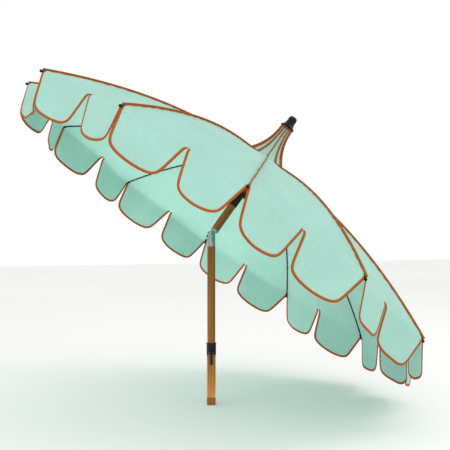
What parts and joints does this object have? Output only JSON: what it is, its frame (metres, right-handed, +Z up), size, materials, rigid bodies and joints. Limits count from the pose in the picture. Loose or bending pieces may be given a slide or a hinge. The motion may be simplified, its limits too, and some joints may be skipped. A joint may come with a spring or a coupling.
{
  "type": "beach umbrella",
  "caption": "Tilting beach umbrella with a scalloped, piped fabric canopy drawn up to a spire and capped finial, on a telescoping wood-look pole with a lever clamp.",
  "frame": {"origin": "centre of the lower pole's bottom end, where the pole enters its base or ground socket", "axes": "+Z up the pole; the tilt hinge turns about +Y; the canopy leans towards +X at rest"},
  "size_m": [1.5207, 1.8602, 1.2808],
  "materials": {
    "canvas": "plain-weave mint canvas with orange-brown binding",
    "pole": "aluminium tube with a glossy wood-grain film",
    "chrome": "polished chrome plate",
    "black_plastic": "moulded black nylon, satin",
    "rib_enamel": "black enamelled steel",
    "steel": "zinc-plated steel"
  },
  "bodies": {
    "lower_pole": {"lower_pole": "pole", "pole_plug": "black_plastic", "clamp_collar": "black_plastic", "clamp_pin": "steel"},
    "clamp_lever": {"clamp_lever": "black_plastic"},
    "inner_pole": {"inner_pole": "pole", "pole_glide": "black_plastic", "tilt_socket": "chrome", "tilt_pin": "chrome", "button_spring": "steel"},
    "tilt_button": {"tilt_button": "black_plastic"},
    "canopy_pole": {"tilt_tongue": "chrome", "ferrule_rivet": "steel", "canopy_pole": "pole", "crown": "black_plastic", "crown_pins": "steel", "spire_collar": "black_plastic", "finial": "black_plastic", "finial_stud": "steel"},
    "runner": {"runner": "black_plastic"},
    "runner_button": {"runner_button": "steel"},
    "rib_01": {"rib_01": "rib_enamel", "canopy_01": "canvas"},
    "rib_02": {"rib_02": "rib_enamel", "canopy_02": "canvas"},
    "rib_03": {"rib_03": "rib_enamel", "canopy_03": "canvas"},
    "rib_04": {"rib_04": "rib_enamel", "canopy_04": "canvas"},
    "rib_05": {"rib_05": "rib_enamel", "canopy_05": "canvas"},
    "rib_06": {"rib_06": "rib_enamel", "canopy_06": "canvas"},
    "rib_07": {"rib_07": "rib_enamel", "canopy_07": "canvas"},
    "rib_08": {"rib_08": "rib_enamel", "canopy_08": "canvas"},
    "rib_09": {"rib_09": "rib_enamel", "canopy_09": "canvas"},
    "rib_10": {"rib_10": "rib_enamel", "canopy_10": "canvas"},
    "rib_11": {"rib_11": "rib_enamel", "canopy_11": "canvas"},
    "rib_12": {"rib_12": "rib_enamel", "canopy_12": "canvas"},
    "strut_01": {"strut_01": "rib_enamel"},
    "strut_02": {"strut_02": "rib_enamel"},
    "strut_03": {"strut_03": "rib_enamel"},
    "strut_04": {"strut_04": "rib_enamel"},
    "strut_05": {"strut_05": "rib_enamel"},
    "strut_06": {"strut_06": "rib_enamel"},
    "strut_07": {"strut_07": "rib_enamel"},
    "strut_08": {"strut_08": "rib_enamel"},
    "strut_09": {"strut_09": "rib_enamel"},
    "strut_10": {"strut_10": "rib_enamel"},
    "strut_11": {"strut_11": "rib_enamel"},
    "strut_12": {"strut_12": "rib_enamel"}
  },
  "joints": [
    {"name": "pole_slide", "type": "slide", "parent": "lower_pole", "child": "inner_pole", "axis": [0, 0, 1], "range_m": [-0.09, 0.05]},
    {"name": "clamp_lever_turn", "type": "hinge", "parent": "lower_pole", "child": "clamp_lever", "pos_m": [-0.00581, -0.02329, 0.211], "axis": [-0.9703, 0.2419, 0], "range_deg": [0, 110]},
    {"name": "tilt", "type": "hinge", "parent": "inner_pole", "child": "canopy_pole", "pos_m": [0, 0, 0.675], "axis": [0, 1, 0], "range_deg": [-36, 0]},
    {"name": "tilt_button_press", "type": "slide", "parent": "inner_pole", "child": "tilt_button", "axis": [1, 0, 0], "range_m": [0, 0.0024], "stiffness_N_per_m": 400, "deforming": ["button_spring"]},
    {"name": "canopy_fold", "type": "hinge", "parent": "canopy_pole", "child": "rib_01", "pos_m": [0.22951, -0.00558, 0.94506], "axis": [0.1732, 0.9767, -0.127], "range_deg": [0, 66], "deforming": ["canopy_01"]},
    {"name": "rib_fold_02", "type": "hinge", "parent": "canopy_pole", "child": "rib_02", "pos_m": [0.22901, 0.00786, 0.94542], "axis": [-0.2438, 0.9532, 0.1788], "range_deg": [0, 66], "deforming": ["canopy_02"]},
    {"name": "rib_fold_03", "type": "hinge", "parent": "canopy_pole", "child": "rib_03", "pos_m": [0.22317, 0.0192, 0.94971], "axis": [-0.5955, 0.6743, 0.4367], "range_deg": [0, 66], "deforming": ["canopy_03"]},
    {"name": "rib_fold_04", "type": "hinge", "parent": "canopy_pole", "child": "rib_04", "pos_m": [0.21353, 0.02539, 0.95678], "axis": [-0.7876, 0.2147, 0.5775], "range_deg": [0, 66], "deforming": ["canopy_04"]},
    {"name": "rib_fold_05", "type": "hinge", "parent": "canopy_pole", "child": "rib_05", "pos_m": [0.20269, 0.02478, 0.96473], "axis": [-0.7687, -0.3024, 0.5636], "range_deg": [0, 66], "deforming": ["canopy_05"]},
    {"name": "rib_fold_06", "type": "hinge", "parent": "canopy_pole", "child": "rib_06", "pos_m": [0.19354, 0.01753, 0.97143], "axis": [-0.5438, -0.7385, 0.3987], "range_deg": [0, 66], "deforming": ["canopy_06"]},
    {"name": "rib_fold_07", "type": "hinge", "parent": "canopy_pole", "child": "rib_07", "pos_m": [0.18855, 0.00558, 0.97509], "axis": [-0.1732, -0.9767, 0.127], "range_deg": [0, 66], "deforming": ["canopy_07"]},
    {"name": "rib_fold_08", "type": "hinge", "parent": "canopy_pole", "child": "rib_08", "pos_m": [0.18904, -0.00786, 0.97473], "axis": [0.2438, -0.9532, -0.1788], "range_deg": [0, 66], "deforming": ["canopy_08"]},
    {"name": "rib_fold_09", "type": "hinge", "parent": "canopy_pole", "child": "rib_09", "pos_m": [0.19489, -0.0192, 0.97045], "axis": [0.5955, -0.6743, -0.4367], "range_deg": [0, 66], "deforming": ["canopy_09"]},
    {"name": "rib_fold_10", "type": "hinge", "parent": "canopy_pole", "child": "rib_10", "pos_m": [0.20453, -0.02539, 0.96338], "axis": [0.7876, -0.2147, -0.5775], "range_deg": [0, 66], "deforming": ["canopy_10"]},
    {"name": "rib_fold_11", "type": "hinge", "parent": "canopy_pole", "child": "rib_11", "pos_m": [0.21537, -0.02478, 0.95543], "axis": [0.7687, 0.3024, -0.5636], "range_deg": [0, 66], "deforming": ["canopy_11"]},
    {"name": "rib_fold_12", "type": "hinge", "parent": "canopy_pole", "child": "rib_12", "pos_m": [0.22451, -0.01753, 0.94873], "axis": [0.5438, 0.7385, -0.3987], "range_deg": [0, 66], "deforming": ["canopy_12"]},
    {"name": "strut_turn_01", "type": "hinge", "parent": "rib_01", "child": "strut_01", "pos_m": [0.29874, -0.02663, 0.87762], "axis": [0.1732, 0.9767, -0.127], "range_deg": [-92.17, 0]},
    {"name": "strut_turn_02", "type": "hinge", "parent": "rib_02", "child": "strut_02", "pos_m": [0.29639, 0.03749, 0.87934], "axis": [-0.2438, 0.9532, 0.1788], "range_deg": [-92.17, 0]},
    {"name": "strut_turn_03", "type": "hinge", "parent": "rib_03", "child": "strut_03", "pos_m": [0.2685, 0.09157, 0.89979], "axis": [-0.5955, 0.6743, 0.4367], "range_deg": [-92.17, 0]},
    {"name": "strut_turn_04", "type": "hinge", "parent": "rib_04", "child": "strut_04", "pos_m": [0.22255, 0.12111, 0.93348], "axis": [-0.7876, 0.2147, 0.5775], "range_deg": [-92.17, 0]},
    {"name": "strut_turn_05", "type": "hinge", "parent": "rib_05", "child": "strut_05", "pos_m": [0.17084, 0.1182, 0.9714], "axis": [-0.7687, -0.3024, 0.5636], "range_deg": [-92.17, 0]},
    {"name": "strut_turn_06", "type": "hinge", "parent": "rib_06", "child": "strut_06", "pos_m": [0.12723, 0.08361, 1.00337], "axis": [-0.5438, -0.7385, 0.3987], "range_deg": [-92.17, 0]},
    {"name": "strut_turn_07", "type": "hinge", "parent": "rib_07", "child": "strut_07", "pos_m": [0.10341, 0.02663, 1.02084], "axis": [-0.1732, -0.9767, 0.127], "range_deg": [-92.17, 0]},
    {"name": "strut_turn_08", "type": "hinge", "parent": "rib_08", "child": "strut_08", "pos_m": [0.10576, -0.03749, 1.01912], "axis": [0.2438, -0.9532, -0.1788], "range_deg": [-92.17, 0]},
    {"name": "strut_turn_09", "type": "hinge", "parent": "rib_09", "child": "strut_09", "pos_m": [0.13364, -0.09157, 0.99867], "axis": [0.5955, -0.6743, -0.4367], "range_deg": [-92.17, 0]},
    {"name": "strut_turn_10", "type": "hinge", "parent": "rib_10", "child": "strut_10", "pos_m": [0.1796, -0.12111, 0.96497], "axis": [0.7876, -0.2147, -0.5775], "range_deg": [-92.17, 0]},
    {"name": "strut_turn_11", "type": "hinge", "parent": "rib_11", "child": "strut_11", "pos_m": [0.23131, -0.1182, 0.92706], "axis": [0.7687, 0.3024, -0.5636], "range_deg": [-92.17, 0]},
    {"name": "strut_turn_12", "type": "hinge", "parent": "rib_12", "child": "strut_12", "pos_m": [0.27492, -0.08361, 0.89508], "axis": [0.5438, 0.7385, -0.3987], "range_deg": [-92.17, 0]},
    {"name": "runner_slide", "type": "slide", "parent": "canopy_pole", "child": "runner", "axis": [-0.5913, 0, -0.8064], "range_m": [0, 0.1118]},
    {"name": "runner_button_press", "type": "slide", "parent": "runner", "child": "runner_button", "axis": [0, -1, 0], "range_m": [0, 0.002], "stiffness_N_per_m": 400}
  ],
  "couplings": [
    {"joint": "rib_fold_02", "follows": "canopy_fold", "ratio": 1},
    {"joint": "rib_fold_03", "follows": "canopy_fold", "ratio": 1},
    {"joint": "rib_fold_04", "follows": "canopy_fold", "ratio": 1},
    {"joint": "rib_fold_05", "follows": "canopy_fold", "ratio": 1},
    {"joint": "rib_fold_06", "follows": "canopy_fold", "ratio": 1},
    {"joint": "rib_fold_07", "follows": "canopy_fold", "ratio": 1},
    {"joint": "rib_fold_08", "follows": "canopy_fold", "ratio": 1},
    {"joint": "rib_fold_09", "follows": "canopy_fold", "ratio": 1},
    {"joint": "rib_fold_10", "follows": "canopy_fold", "ratio": 1},
    {"joint": "rib_fold_11", "follows": "canopy_fold", "ratio": 1},
    {"joint": "rib_fold_12", "follows": "canopy_fold", "ratio": 1},
    {"joint": "strut_turn_01", "follows": "canopy_fold", "ratio": -1.3963},
    {"joint": "strut_turn_02", "follows": "canopy_fold", "ratio": -1.3963},
    {"joint": "strut_turn_03", "follows": "canopy_fold", "ratio": -1.3963},
    {"joint": "strut_turn_04", "follows": "canopy_fold", "ratio": -1.3963},
    {"joint": "strut_turn_05", "follows": "canopy_fold", "ratio": -1.3963},
    {"joint": "strut_turn_06", "follows": "canopy_fold", "ratio": -1.3963},
    {"joint": "strut_turn_07", "follows": "canopy_fold", "ratio": -1.3963},
    {"joint": "strut_turn_08", "follows": "canopy_fold", "ratio": -1.3963},
    {"joint": "strut_turn_09", "follows": "canopy_fold", "ratio": -1.3963},
    {"joint": "strut_turn_10", "follows": "canopy_fold", "ratio": -1.3963},
    {"joint": "strut_turn_11", "follows": "canopy_fold", "ratio": -1.3963},
    {"joint": "strut_turn_12", "follows": "canopy_fold", "ratio": -1.3963},
    {"joint": "runner_slide", "follows": "canopy_fold", "m_per_rad": 0.096921}
  ]
}
